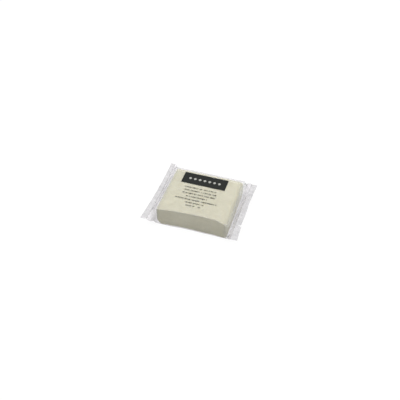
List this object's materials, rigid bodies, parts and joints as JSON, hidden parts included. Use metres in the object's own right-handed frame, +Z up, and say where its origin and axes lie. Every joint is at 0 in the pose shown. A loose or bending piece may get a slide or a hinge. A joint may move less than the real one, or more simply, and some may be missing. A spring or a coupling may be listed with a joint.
{
  "type": "kneaded eraser",
  "caption": "Flat block of soft cream putty, its front top edge raised in a low arch, in a clear film wrapper with a crimped flap at each end and a dark printed panel",
  "frame": {"origin": "under the middle of the wrapper, on the surface it rests on", "axes": "+X from the left crimped end to the right one, +Y from the front cut face to the back one, +Z up"},
  "size_m": [0.0534, 0.0472, 0.0123],
  "materials": {
    "putty": "matte, soft, slightly waxy",
    "clear_film": "clear and glossy, milky where it is crimped and creased"
  },
  "bodies": {
    "root": {"eraser_block": "putty", "film_wrapper": "clear_film"}
  },
  "joints": []
}
